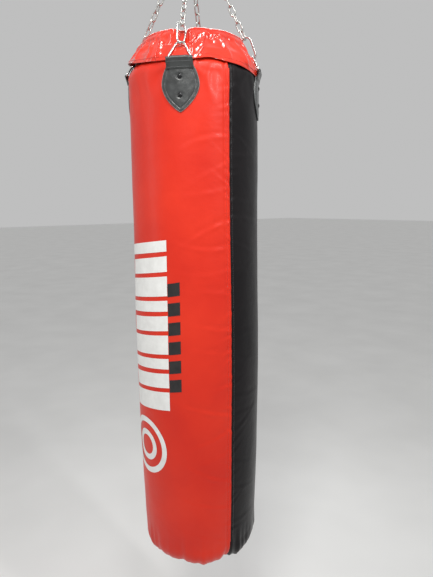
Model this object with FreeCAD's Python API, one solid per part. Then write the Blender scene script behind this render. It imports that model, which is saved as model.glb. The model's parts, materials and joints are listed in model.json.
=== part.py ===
import FreeCAD, Part
import math
import os

# Hanging punching bag with its chain harness. Millimetres.
# Origin: centre of the bore of the top eye. +Z up, -Y front (the middle of the red side).
# Azimuths are in degrees from the front, growing towards +X.

os.makedirs("parts", exist_ok=True)

# Bag
FRONT_HALF_ANGLE = 85.0      # the front panel reaches this far to each side
SHOULDER_R = 181.0           # where the side meets the slope of the top
BELLY_R = 184.5              # widest, a little below half height
FOOT_R = 174.0               # where the bottom corner starts
CORNER_R = 55.0              # bottom corner
SHOULDER_H = -15.0           # heights are measured from the D-ring bars
STRAIGHT_H = -350.0          # the side is straight down to here
BELLY_H = -720.0
LOWER_R = 182.0
LOWER_H = -1080.0
BOTTOM_H = -1420.0
RIM_H = 80.0                 # top of the collar
SLOPE_ANGLE = 26.58          # lean of the top, from upright
SHELL_TOP_H = 12.0
SHELL_T = 2.0
FOAM_T = 12.0
FILL_TOP_H = -10.0
CUSHION_T = 18.0
CUSHION_GAP = 4.0
BINDING_W = 4.0
BINDING_T = 1.2

# Collar, lid and zip, in distances up the slope and out from it
FLAP_GAP = 5.3
FLAP_T = 1.5
HEM_S = 13.8
ZIP_S = 41.15
COIL_R = 1.1
COIL_DEPTH = 0.4             # the coils' tops lie this far under the slope
TAPE_T = 1.0
TAPE_W = 14.0
TAPE_GAP = 0.03
LID_S = 50.0
LID_SEAM = 8.0               # the lid's wall follows the slope this far, over the tape
LID_LEAN = 6.0               # then it leans in by this much
LID_T = 1.7
RIM_SETBACK = 3.4
RIM_T = 1.5
SLIDER_AZIMUTH = -30.0
ZIP_TRAVEL = 300.0
STOP_SIZE = (3.0, 7.0, 1.2)
STOP_GAP = 8.0               # degrees from the slider's middle at the end of its run
SLIDER_LENGTH = 14.0
SLIDER_WIDTH = 11.0
SLIDER_T = 2.0
SLIDER_LIFT = 0.2
LIP_W = 1.0
LIP_DROP = 1.6
POST_R = 1.2
POST_H = 2.6
CAP_R = 2.2
CAP_T = 0.5
PULL_Z = 2.7                 # the pull's underside, out from the slope
PULL_T = 1.5
PULL_LENGTH = 24.5
PULL_WIDTH = 4.4
PULL_EYE_R = 3.2
PULL_END_R = 3.4
PULL_SLOT_R = 1.6

# Fittings round the bag
FITTING_AZIMUTHS = {"front_left": -45.0, "front_right": 45.0, "back_right": 135.0, "back_left": 225.0}
BAR_R = 187.0                # D-ring bars stand this far from the axis
LEG_LEAN = 24.5
D_WIRE = 2.5
D_HALF = 30.5                # half the bar, between wire centres
D_PEAK = 64.0                # where the two sides would meet
D_APEX_R = 14.0
D_CORNER_R = 5.0
TAB_T = 3.0
TAB_LENGTH = 129.0
TAB_HALF_TOP = 35.0
TAB_HALF_MAX = 48.5
TAB_TOP_H = -6.0
TAB_FOLD_H = -20.0
TAB_WIDE_H = -62.0
UPPER_FULLNESS = 0.93        # share of the widest half width in the middle of each curve
LOWER_FULLNESS = 0.73
TAB_SPREAD = 60.0            # an angle that holds a whole tab
BAND_T = 5.0                 # folded strap over the shield's top
BAND_H = 20.0
BAND_FOOT_H = -23.5
BAND_LIFT = 1.2
STRAP_HALF = 22.4
STRAP_T = 2.4
RUN_CLEAR = 0.05
RIVET_HEIGHTS = (-43.0, -88.0)
RIVET_HEAD_R = 6.5
RIVET_DOME_R = 8.0
RIVET_SHANK_R = 2.2
WASHER_R = 6.0
WASHER_T = 1.2
WASHER_GAP = 0.12            # keeps a flat washer off the webbing's curve
WEB_HALF_ANGLE = 8.0
WEB_T = 2.0
WEB_TOP_H = -20.0
WEB_LENGTH = 300.0
WELT = 1.0
WELT_ANGLE = 0.8
WELT_TOP_GAP = 8.0

# Snap hooks, pear-shaped
HOOK_WIRE = 2.75
HOOK_SMALL_R = 12.0
HOOK_LARGE_R = 15.5
HOOK_SPAN = 34.0             # between the two bow centres
HOOK_TWIST = 58.0            # from the plane of the D-ring
PIVOT_S = 6.0                # gate pivot, up the open side
NOSE_S = 3.0                 # the nose ends this far before the large bow
NOSE_GAP = 0.4               # between the nose and the gate
PIN_R = 1.0
PIN_PLAY = 0.06
KNUCKLE_R = 2.3
TANG_W = 4.6
TONGUE_T = 2.0
TONGUE_W = 4.0
TONGUE_LENGTH = 5.5
SLOT_T = 2.3
SLOT_W = 8.0
FORK_LENGTH = 7.6
MOUTH_LENGTH = 7.0
SPRING_START = 4.4           # from the pivot
SPRING_LENGTH = 9.0
SPRING_PITCH = 1.5
SPRING_R = 0.85
SPRING_WIRE = 0.3
SPRING_BORE_R = 1.3
SPRING_BORE_START = 3.6
SPRING_BORE_LENGTH = 11.4
HOOK_ROOM = 0.6              # between a hook and the collar's slit

# Chains, ring and swivel
LINKS = 14
LINK_WIRE = 2.0
LINK_INNER_W = 9.4
LINK_SLACK = 0.15
SEAT_GAP = 0.3
HOOK_GAP = 0.8               # slack between a hook and its D-ring
RING_R = 27.0
RING_WIRE = 4.0
EYE_R = 20.0
EYE_BORE_R = 10.0
EYE_T = 12.0
EYE_ROUND = 3.0
SHANK_R = 6.0
SHANK_TOP = -15.0
NECK_R = 9.0
NECK_H = 8.0
NECK_BOTTOM = -26.0
TURN_PLAY = 0.08
BALL_PLAY = 0.02
HOUSING_R = 17.0
HOUSING_ROUND = 4.0
CAVITY_R = 13.5
HOUSING_TOP = -30.0
HOUSING_WALL = 6.0
RACE_T = 3.0
BALL_R = 2.5
BALLS = 10
NUT_T = 7.0
NUT_R = 10.4
NUT_GAP = 3.0
PLUG_T = 8.0
FLANGE_T = 3.0
EYE_ROOT = 2.0               # the lower eye runs this far into the flange
LOWER_EYE_R = 14.0
LOWER_EYE_WIRE = 5.0
LEG_RISE = 380.0             # from the D-ring bars to the seats on the ring
FRONT_SEAT = 9.5             # degrees round the ring from its lowest point
BACK_SEAT = 27.0

RING_SEATS = {"front_left": -FRONT_SEAT, "front_right": FRONT_SEAT,
              "back_right": BACK_SEAT, "back_left": -BACK_SEAT}

V = FreeCAD.Vector
UP = V(0, 0, 1)
AXIS = V(0, 0, 0)

# Heights that follow from the swivel
CAVITY_TOP = HOUSING_TOP - HOUSING_WALL
BALL_Z = CAVITY_TOP - RACE_T - BALL_R - BALL_PLAY
LOWER_RACE_TOP = BALL_Z - BALL_R - BALL_PLAY
NUT_TOP = LOWER_RACE_TOP - RACE_T
PLUG_TOP = NUT_TOP - NUT_T - NUT_GAP
FLANGE_BOTTOM = PLUG_TOP - PLUG_T - FLANGE_T
LOWER_EYE_Z = FLANGE_BOTTOM - LOWER_EYE_R - LOWER_EYE_WIRE + EYE_ROOT
RING_Z = LOWER_EYE_Z - LOWER_EYE_R + LOWER_EYE_WIRE + RING_WIRE + LINK_SLACK - RING_R
BAR_Z = RING_Z - RING_R * math.cos(math.radians(FRONT_SEAT)) - LEG_RISE

SLOPE = math.radians(SLOPE_ANGLE)


def save(name, shape):
    shape.exportStep("parts/" + name + ".step")


def turned(shape, azimuth):
    copy = shape.copy()
    copy.rotate(AXIS, UP, azimuth)
    return copy


def outward(azimuth):
    a = math.radians(azimuth)
    return V(math.sin(a), -math.cos(a), 0)


def sideways(azimuth):
    a = math.radians(azimuth)
    return V(math.cos(a), math.sin(a), 0)


def at(radius, height):
    """A point of a section, drawn in the plane that faces the front."""
    return V(0, -radius, BAR_Z + height)


def on_slope(s, q):
    """A section point, s up the slope of the top from the shoulder and q out from it."""
    r = SHOULDER_R - s * math.sin(SLOPE) + q * math.cos(SLOPE)
    h = SHOULDER_H + s * math.cos(SLOPE) + q * math.sin(SLOPE)
    return at(r, h)


def swept(edges_or_points, angle=360.0, start=0.0):
    """A solid of revolution about Z from a closed section."""
    if isinstance(edges_or_points[0], FreeCAD.Vector):
        wire = Part.makePolygon(list(edges_or_points) + [edges_or_points[0]])
    else:
        wire = Part.Wire(edges_or_points)
    solid = Part.Face(wire).revolve(AXIS, UP, angle)
    return turned(solid, start)


def lathe(outline):
    """A turned piece from (radius, z) corners."""
    return swept([V(0, -r, z) for r, z in outline])


def slope_ring(s0, s1, q0, q1):
    return swept([on_slope(s0, q0), on_slope(s1, q0), on_slope(s1, q1), on_slope(s0, q1)])


def line(a, b):
    return Part.LineSegment(a, b).toShape()


def arc(a, b, c):
    return Part.Arc(a, b, c).toShape()


def placed(shape, origin, x_axis, y_axis):
    copy = shape.copy()
    turn = FreeCAD.Rotation(x_axis, y_axis, x_axis.cross(y_axis), "XYZ")
    copy.Placement = FreeCAD.Placement(origin, turn).multiply(copy.Placement)
    return copy


def tube(edges, radius):
    """Round wire bent along a path."""
    first = edges[0]
    start = first.valueAt(first.FirstParameter)
    heading = first.tangentAt(first.FirstParameter)
    section = Part.Wire(Part.Circle(start, heading, radius).toShape())
    return Part.Wire(edges).makePipeShell([section], True, False)


def rounded_loop(corners, radii):
    """Edges of a closed flat loop with rounded corners, from the middle of its first side."""
    n = len(corners)
    entries, middles, exits = [], [], []
    for i in range(n):
        here = corners[i]
        back = (corners[i - 1] - here).normalize()
        ahead = (corners[(i + 1) % n] - here).normalize()
        half = back.getAngle(ahead) / 2
        reach = radii[i] / math.tan(half)
        bisector = (back + ahead).normalize()
        entries.append(here + back * reach)
        exits.append(here + ahead * reach)
        middles.append(here + bisector * (radii[i] / math.sin(half) - radii[i]))
    start = (exits[0] + entries[1]) * 0.5
    edges = [line(start, entries[1])]
    for k in range(1, n + 1):
        i = k % n
        edges.append(arc(entries[i], middles[i], exits[i]))
        end = start if i == 0 else entries[(i + 1) % n]
        edges.append(line(exits[i], end))
    return edges


# ---- Bag body ----

def side_curve(inset, top_h):
    """The bag's side from its top edge down and round the bottom corner, moved in by inset."""
    foot_h = BOTTOM_H + CORNER_R
    shoulder = at(SHOULDER_R - inset, min(SHOULDER_H, top_h))
    waist = at(SHOULDER_R - inset, STRAIGHT_H)
    belly = [waist, at(BELLY_R - inset, BELLY_H), at(LOWER_R - inset, LOWER_H), at(FOOT_R - inset, foot_h)]
    bulge = Part.BSplineCurve()
    bulge.interpolate(Points=belly)
    turn = (CORNER_R - inset) * math.sqrt(0.5)
    corner = at(FOOT_R - CORNER_R + turn, foot_h - turn)
    base = at(FOOT_R - CORNER_R, BOTTOM_H + inset)
    edges = [line(shoulder, waist), bulge.toShape(), arc(belly[-1], corner, base)]
    top = shoulder
    if top_h > SHOULDER_H:
        top = at(SHOULDER_R - (top_h - SHOULDER_H) * math.tan(SLOPE) - inset, top_h)
        edges.insert(0, line(top, shoulder))
    return top, edges, base


def skin(outer, inner, top_h=SHELL_TOP_H, angle=360.0, start=0.0):
    """The layer of the bag between two insets."""
    top_a, edges_a, base_a = side_curve(outer, top_h)
    top_b, edges_b, base_b = side_curve(inner, top_h)
    section = edges_a + [line(base_a, base_b)] + edges_b[::-1] + [line(top_b, top_a)]
    return swept(Part.__sortEdges__(section), angle, start)


def core(inset, top_h):
    """Everything inside an inset of the bag."""
    top, edges, base = side_curve(inset, top_h)
    high = V(0, 0, top.z)
    low = V(0, 0, base.z)
    return swept(Part.__sortEdges__(edges + [line(base, low), line(low, high), line(high, top)]))


def shield():
    """The leather tab's outline as a prism that crosses the bag's side."""
    depth = SHOULDER_R / 3

    def p(x, h):
        return V(x, -SHOULDER_R - depth / 2, BAR_Z + h)

    upper_h = (TAB_FOLD_H + TAB_WIDE_H) / 2
    lower_h = (TAB_WIDE_H - TAB_LENGTH) / 2
    edges = [line(p(-TAB_HALF_TOP, TAB_TOP_H), p(TAB_HALF_TOP, TAB_TOP_H))]
    for side in (1, -1):
        top = p(side * TAB_HALF_TOP, TAB_TOP_H)
        fold = p(side * TAB_HALF_TOP, TAB_FOLD_H)
        wide = p(side * TAB_HALF_MAX, TAB_WIDE_H)
        upper = p(side * TAB_HALF_MAX * UPPER_FULLNESS, upper_h)
        lower = p(side * TAB_HALF_MAX * LOWER_FULLNESS, lower_h)
        edges.append(line(top, fold))
        edges.append(arc(fold, upper, wide))
        edges.append(arc(wide, lower, p(0, -TAB_LENGTH)))
    return Part.Face(Part.Wire(Part.__sortEdges__(edges))).extrude(V(0, depth, 0))


def rivet_shape(depth):
    """Domed head outside and a shank that goes in by depth, on the front of the bag."""
    solids = []
    room = 2 * RIVET_HEAD_R
    sunk = math.sqrt(RIVET_DOME_R ** 2 - RIVET_HEAD_R ** 2)
    seat = SHOULDER_R + TAB_T
    for h in RIVET_HEIGHTS:
        ball = Part.makeSphere(RIVET_DOME_R, V(0, -seat + sunk, BAR_Z + h))
        outside = Part.makeBox(2 * room, room, 2 * room, V(-room, -seat - room, BAR_Z + h - room))
        shank = Part.makeCylinder(RIVET_SHANK_R, depth + TAB_T, V(0, -seat, BAR_Z + h), V(0, 1, 0))
        solids.append(ball.common(outside).fuse(shank))
    return solids


def washers():
    solids = []
    depth = SHELL_T + WEB_T + WASHER_GAP
    for h in RIVET_HEIGHTS:
        seat = V(0, -SHOULDER_R + depth, BAR_Z + h)
        disc = Part.makeCylinder(WASHER_R, WASHER_T, seat, V(0, 1, 0))
        solids.append(disc.cut(Part.makeCylinder(RIVET_SHANK_R, WASHER_T, seat, V(0, 1, 0))))
    return solids


def leather_tab():
    """Shield on the side, and a folded strap round the D-ring's bar."""
    face = shield().common(skin(-TAB_T, 0.0, SHOULDER_H, TAB_SPREAD, -TAB_SPREAD / 2))
    corner = V(-TAB_HALF_TOP, -SHOULDER_R - BAND_LIFT - BAND_T, BAR_Z + BAND_FOOT_H)
    band = Part.makeBox(2 * TAB_HALF_TOP, BAND_T, BAND_H, corner)
    hub = V(-STRAP_HALF, -BAR_R, BAR_Z)
    loop = Part.makeCylinder(D_WIRE + RUN_CLEAR + STRAP_T, 2 * STRAP_HALF, hub, V(1, 0, 0))
    hole = Part.makeCylinder(D_WIRE + RUN_CLEAR, 2 * STRAP_HALF, hub, V(1, 0, 0))
    tab = face.fuse([band, loop]).cut(hole)
    return tab.cut(core(0.0, 0.0))


def webbing():
    strip = skin(SHELL_T, SHELL_T + WEB_T, SHOULDER_H, 2 * WEB_HALF_ANGLE, -WEB_HALF_ANGLE)
    room = SHOULDER_R / 2
    corner = V(-room / 2, -BELLY_R, BAR_Z + WEB_TOP_H - WEB_LENGTH)
    return strip.common(Part.makeBox(room, room, WEB_LENGTH, corner))


def bag_body():
    """Panels, their seams, the lining and the fill, with the riveted tabs."""
    rivets, discs, webs = [], [], []
    tab = leather_tab()
    for name, azimuth in FITTING_AZIMUTHS.items():
        own = rivet_shape(SHELL_T + WEB_T + WASHER_T)
        save("leather_tab_" + name, turned(tab.cut(own), azimuth))
        rivets += [turned(r, azimuth) for r in own]
        discs += [turned(w, azimuth) for w in washers()]
        webs.append(turned(webbing(), azimuth))
    save("tab_rivets", Part.makeCompound(rivets))
    save("rivet_washers", Part.makeCompound(discs))
    save("webbing_strips", Part.makeCompound([w.cut(rivets) for w in webs]))

    span = 2 * FRONT_HALF_ANGLE
    save("red_panel", skin(0, SHELL_T, angle=span, start=-FRONT_HALF_ANGLE).cut(rivets))
    quarter = 180 - FRONT_HALF_ANGLE
    halves = [skin(0, SHELL_T, angle=quarter, start=start) for start in (FRONT_HALF_ANGLE, 180)]
    save("black_panel", halves[0].fuse(halves[1]).cut(rivets))
    welt = skin(-WELT, 0, SHOULDER_H, WELT_ANGLE, -WELT_ANGLE / 2)
    wide = 3 * BELLY_R
    low_z = BAR_Z + BOTTOM_H + CORNER_R
    high_z = BAR_Z + SHOULDER_H - WELT_TOP_GAP
    welt = welt.common(Part.makeBox(wide, wide, high_z - low_z, V(-wide / 2, -wide / 2, low_z)))
    save("side_seams", Part.makeCompound([turned(welt, s * FRONT_HALF_ANGLE) for s in (1, -1)]))

    foam_out = SHELL_T + WEB_T + WASHER_T + 2.5 * WASHER_GAP
    save("foam_lining", skin(foam_out, SHELL_T + FOAM_T, SHOULDER_H))
    fill_top = FILL_TOP_H - CUSHION_T
    save("textile_fill", core(SHELL_T + FOAM_T, fill_top))
    inner = SHOULDER_R - SHELL_T - FOAM_T - CUSHION_GAP
    save("top_cushion", Part.makeCylinder(inner, CUSHION_T, V(0, 0, BAR_Z + fill_top)))

    base_r = FOOT_R - CORNER_R
    base_z = BAR_Z + BOTTOM_H
    save("bottom_panel", Part.makeCylinder(base_r, SHELL_T, V(0, 0, base_z)))
    half = BINDING_W / 2
    save("bottom_binding", lathe([(base_r - half, base_z - BINDING_T), (base_r + half, base_z - BINDING_T),
                                  (base_r + half, base_z), (base_r - half, base_z)]))


# ---- Top: lid, zip and collar ----

def top_parts(reliefs):
    rim_s = (RIM_H - SHOULDER_H) / math.cos(SLOPE) - RIM_SETBACK
    rim_end = rim_s + RIM_T
    lid_in = -LID_LEAN - LID_T
    outside = [on_slope(LID_S, 0), on_slope(LID_S + LID_SEAM, 0), on_slope(rim_s, -LID_LEAN)]
    inside = [on_slope(rim_s, lid_in), on_slope(LID_S + LID_SEAM, -LID_T), on_slope(LID_S, -LID_T)]
    save("lid_wall", swept(outside + inside))
    edge = inside[0]
    save("lid_panel", Part.makeCylinder(-edge.y, LID_T, V(0, 0, edge.z - LID_T)))
    flap = slope_ring(HEM_S, rim_end, FLAP_GAP, FLAP_GAP + FLAP_T)
    save("storm_flap", flap.cut(reliefs))
    save("rim_binding", slope_ring(rim_s, rim_end, lid_in, FLAP_GAP).cut(reliefs))

    low = -SHELL_T * math.cos(SLOPE) - TAPE_GAP
    for name, side in (("lower", -1), ("upper", 1)):
        coil_s = ZIP_S + side * (COIL_R + TAPE_GAP)
        near = coil_s + side * (COIL_R + TAPE_GAP)
        far = near + side * TAPE_W
        save("zip_" + name + "_tape", slope_ring(min(near, far), max(near, far), low - TAPE_T, low))
        save("zip_" + name + "_coil", zip_coil(coil_s))
    ends = (SLIDER_AZIMUTH - STOP_GAP, SLIDER_AZIMUTH + ZIP_TRAVEL + STOP_GAP)
    save("zip_stops", Part.makeCompound([zip_stop(azimuth) for azimuth in ends]))
    save("zip_slider", turned(zip_slider(), SLIDER_AZIMUTH))
    save("zip_pull", turned(zip_pull(), SLIDER_AZIMUTH))


def zip_coil(s):
    centre = on_slope(s, -COIL_R - COIL_DEPTH)
    return Part.makeTorus(-centre.y, COIL_R, V(0, 0, centre.z))


def on_zip(shape):
    """Moves a shape drawn across, up and out from the slope onto the zip at the front."""
    origin = on_slope(ZIP_S, 0.0)
    up_slope = (on_slope(ZIP_S + 1, 0.0) - origin).normalize()
    return placed(shape, origin, V(1, 0, 0), up_slope)


def zip_stop(azimuth):
    width, length, thick = STOP_SIZE
    block = Part.makeBox(width, length, thick, V(-width / 2, -length / 2, 0.0))
    return turned(on_zip(block), azimuth)


def zip_slider():
    corner = V(-SLIDER_LENGTH / 2, -SLIDER_WIDTH / 2, SLIDER_LIFT)
    plate = Part.makeBox(SLIDER_LENGTH, SLIDER_WIDTH, SLIDER_T, corner)
    drop = LIP_DROP + SLIDER_LIFT
    lip = Part.makeBox(SLIDER_LENGTH, LIP_W, drop, corner - UP * drop)
    far_lip = lip.copy()
    far_lip.translate(V(0, SLIDER_WIDTH - LIP_W, 0))
    plate_top = SLIDER_LIFT + SLIDER_T
    post = Part.makeCylinder(POST_R, POST_H, V(0, 0, plate_top))
    cap = Part.makeCylinder(CAP_R, CAP_T, V(0, 0, plate_top + POST_H - CAP_T + TAPE_GAP))
    return on_zip(plate.fuse([lip, far_lip, post, cap]))


def zip_pull():
    eye = Part.makeCylinder(PULL_EYE_R, PULL_T, V(0, 0, PULL_Z))
    bar = Part.makeBox(PULL_WIDTH, PULL_LENGTH, PULL_T, V(-PULL_WIDTH / 2, -PULL_LENGTH, PULL_Z))
    end = Part.makeCylinder(PULL_END_R, PULL_T, V(0, -PULL_LENGTH, PULL_Z))
    hole = Part.makeCylinder(POST_R + PIN_PLAY, PULL_T, V(0, 0, PULL_Z))
    slot = Part.makeCylinder(PULL_SLOT_R, PULL_T, V(0, -PULL_LENGTH, PULL_Z))
    return on_zip(eye.fuse([bar, end]).cut([hole, slot]))


# ---- D-rings, hooks and chains ----

def d_ring(azimuth):
    lean = math.radians(LEG_LEAN)
    up_ring = UP * math.cos(lean) - outward(azimuth) * math.sin(lean)
    corners = [V(-D_HALF, 0, 0), V(D_HALF, 0, 0), V(0, D_PEAK, 0)]
    loop = rounded_loop(corners, [D_CORNER_R, D_CORNER_R, D_APEX_R])
    centre = outward(azimuth) * BAR_R + UP * BAR_Z
    return placed(tube(loop, D_WIRE), centre, sideways(azimuth), up_ring)


def leg_ends(name):
    """Wire centres that a leg pulls on: the D-ring's apex and the ring's seat."""
    azimuth = FITTING_AZIMUTHS[name]
    lean = math.radians(LEG_LEAN)
    half_peak = math.atan(D_HALF / D_PEAK)
    apex = D_PEAK - D_APEX_R * (1 / math.sin(half_peak) - 1)
    low = outward(azimuth) * (BAR_R - apex * math.sin(lean)) + UP * (BAR_Z + apex * math.cos(lean))
    seat = math.radians(RING_SEATS[name])
    high = V(RING_R * math.sin(seat), 0, RING_Z - RING_R * math.cos(seat))
    return low, high


def side_normal():
    """Unit vector from the hook's axis to its open side, square to that side."""
    lean = math.asin((HOOK_LARGE_R - HOOK_SMALL_R) / HOOK_SPAN)
    return V(math.cos(lean), -math.sin(lean), 0)


def hook_points():
    n = side_normal()
    low = n * HOOK_SMALL_R
    high = V(0, HOOK_SPAN, 0) + n * HOOK_LARGE_R
    along = (high - low).normalize()
    return low, high, along


def mirrored(p):
    return V(-p.x, p.y, p.z)


def flat_bar(start, along, length, width, thick):
    """A bar in the hook's plane, from start along a direction."""
    bar = Part.makeBox(length, width, thick, V(0, -width / 2, -thick / 2))
    return placed(bar, start, along, V(-along.y, along.x, 0))


def hook_body():
    """Pear of round wire, open on one side, with a tongue at each end for the gate."""
    low, high, along = hook_points()
    pivot = low + along * PIVOT_S
    start = low + along * (PIVOT_S / 4)
    end = high - along * NOSE_S
    path = [
        line(start, low),
        arc(low, V(0, -HOOK_SMALL_R, 0), mirrored(low)),
        line(mirrored(low), mirrored(high)),
        arc(mirrored(high), V(0, HOOK_SPAN + HOOK_LARGE_R, 0), high),
        line(high, end),
    ]
    wire = tube(path, HOOK_WIRE)
    tang = flat_bar(low + along, along, PIVOT_S - 1, TANG_W, TONGUE_T)
    knuckle = Part.makeCylinder(KNUCKLE_R, TONGUE_T, pivot - UP * (TONGUE_T / 2))
    hole = Part.makeCylinder(PIN_R, 2 * HOOK_WIRE, pivot - UP * HOOK_WIRE)
    tongue = flat_bar(end + along * NOSE_GAP, along * -1, TONGUE_LENGTH, TONGUE_W, TONGUE_T)
    return wire.fuse([tang, knuckle, tongue]).cut(hole)


def hook_gate():
    """Rod that closes the hook, slotted at both ends over the hook's tongues."""
    low, high, along = hook_points()
    pivot = low + along * PIVOT_S
    length = (high - low).Length - NOSE_S - NOSE_GAP - PIVOT_S
    rod = Part.makeCylinder(HOOK_WIRE, length, pivot, along).fuse(Part.makeSphere(HOOK_WIRE, pivot))
    fork = flat_bar(pivot + along * (SPRING_BORE_START - FORK_LENGTH), along, FORK_LENGTH, SLOT_W, SLOT_T)
    mouth_start = pivot + along * (length - TONGUE_LENGTH - NOSE_GAP / 4)
    mouth = flat_bar(mouth_start, along, MOUTH_LENGTH, SLOT_W, SLOT_T)
    hole = Part.makeCylinder(PIN_R + PIN_PLAY, 2 * HOOK_WIRE, pivot - UP * HOOK_WIRE)
    bore = Part.makeCylinder(SPRING_BORE_R, SPRING_BORE_LENGTH, pivot + along * SPRING_BORE_START, along)
    return rod.cut([fork, mouth, hole, bore])


def gate_pin():
    low, high, along = hook_points()
    pivot = low + along * PIVOT_S
    return Part.makeCylinder(PIN_R, 2 * HOOK_WIRE, pivot - UP * HOOK_WIRE)


def gate_spring():
    """Coil in the gate's bore."""
    low, high, along = hook_points()
    foot = low + along * (PIVOT_S + SPRING_START)
    coil = Part.Wire(Part.makeHelix(SPRING_PITCH, SPRING_LENGTH, SPRING_R))
    section = Part.Wire(Part.Circle(V(SPRING_R, 0, 0), V(0, 1, 0), SPRING_WIRE).toShape())
    spring = coil.makePipeShell([section], True, True)
    return placed(spring, foot, UP, along.cross(UP))


def hook_relief():
    """The room that a hook takes out of the collar."""
    wide = HOOK_LARGE_R + HOOK_WIRE + HOOK_ROOM
    narrow = HOOK_SMALL_R + HOOK_WIRE + HOOK_ROOM
    thick = 2 * (HOOK_WIRE + HOOK_ROOM)
    foot = V(0, 0, -thick / 2)
    large = Part.makeCylinder(wide, thick, foot + V(0, HOOK_SPAN, 0))
    small = Part.makeCylinder(narrow, thick, foot)
    n = side_normal()
    corners = [n * narrow, V(0, HOOK_SPAN, 0) + n * wide]
    corners += [mirrored(corners[1]), mirrored(corners[0])]
    corners = [c + foot for c in corners]
    middle = Part.Face(Part.makePolygon(corners + [corners[0]])).extrude(V(0, 0, thick))
    return large.fuse([small, middle])


def link(inner):
    half = inner / 2 - LINK_INNER_W / 2
    r = LINK_INNER_W / 2 + LINK_WIRE
    path = [
        line(V(-r, 0, 0), V(-r, half, 0)),
        arc(V(-r, half, 0), V(0, half + r, 0), V(r, half, 0)),
        line(V(r, half, 0), V(r, -half, 0)),
        arc(V(r, -half, 0), V(0, -half - r, 0), V(-r, -half, 0)),
        line(V(-r, -half, 0), V(-r, 0, 0)),
    ]
    return tube(path, LINK_WIRE)


def fixed_length():
    """What a leg holds besides its links' inner lengths and the steps between them."""
    hook = HOOK_SMALL_R + HOOK_SPAN + HOOK_LARGE_R
    seat = RING_WIRE + SEAT_GAP
    hook_seat = HOOK_WIRE + LINK_SLACK + RUN_CLEAR
    return hook - seat - hook_seat - (HOOK_WIRE + D_WIRE + HOOK_GAP)


def hook_frame(low, high, azimuth):
    """The hook's small bow centre and axes, with its wire over the D-ring's apex."""
    pull = (high - low).normalize()
    across = sideways(azimuth)
    across = (across - pull * across.dot(pull)).normalize()
    twist = math.radians(HOOK_TWIST)
    lateral = across * math.cos(twist) + pull.cross(across) * math.sin(twist)
    centre = low + pull * (HOOK_SMALL_R - HOOK_WIRE - D_WIRE - HOOK_GAP)
    return centre, lateral, pull


def chain(name, inner, low, high, hook_side):
    """Links from the ring's seat down to the hook, each about a quarter turn from the last."""
    drop = (low - high).normalize()
    pitch = ((high - low).Length - fixed_length() - inner) / (LINKS - 1)
    seat = math.radians(RING_SEATS[name])
    tangent = V(math.cos(seat), 0, math.sin(seat))
    first = drop.cross(tangent).normalize()
    wanted = drop.cross(hook_side)
    turn = math.atan2(first.cross(wanted).dot(drop), first.dot(wanted))
    quarter = math.pi / 2
    spare = (turn - quarter * (LINKS - 1) + quarter) % math.pi - quarter
    step = quarter + spare / (LINKS - 1)
    shape = link(inner)
    solids = []
    for k in range(LINKS):
        side = first * math.cos(k * step) + drop.cross(first) * math.sin(k * step)
        centre = high + drop * (inner / 2 - RING_WIRE - SEAT_GAP + k * pitch)
        solids.append(placed(shape, centre, side, drop))
    return Part.makeCompound(solids)


def harness():
    """D-rings, hooks and chains. Returns the room the hooks take out of the collar."""
    ends = {name: leg_ends(name) for name in FITTING_AZIMUTHS}
    longest = max((high - low).Length for low, high in ends.values())
    inner = (longest - fixed_length() + LINK_SLACK * (LINKS - 1)) / LINKS
    pins, reliefs = [], []
    for name, azimuth in FITTING_AZIMUTHS.items():
        low, high = ends[name]
        frame = hook_frame(low, high, azimuth)
        save("d_ring_" + name, d_ring(azimuth))
        save("snap_hook_" + name, placed(hook_body(), *frame))
        save("hook_gate_" + name, placed(hook_gate(), *frame))
        save("gate_spring_" + name, placed(gate_spring(), *frame))
        save("chain_" + name, chain(name, inner, low, high, frame[1]))
        pins.append(placed(gate_pin(), *frame))
        reliefs.append(placed(hook_relief(), *frame))
        low_point, high_point, along = hook_points()
        pivot = low_point + along * PIVOT_S
        centre, lateral, pull = frame
        world = centre + lateral * pivot.x + pull * pivot.y
        axis = lateral.cross(pull)
        print(name, "gate pivot", [round(c / 1000, 5) for c in world], "axis", [round(c, 5) for c in axis])
    save("gate_pins", Part.makeCompound(pins))
    print("link inner length", round(inner, 2))
    return reliefs


# ---- Swivel and gathering ring ----

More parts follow.
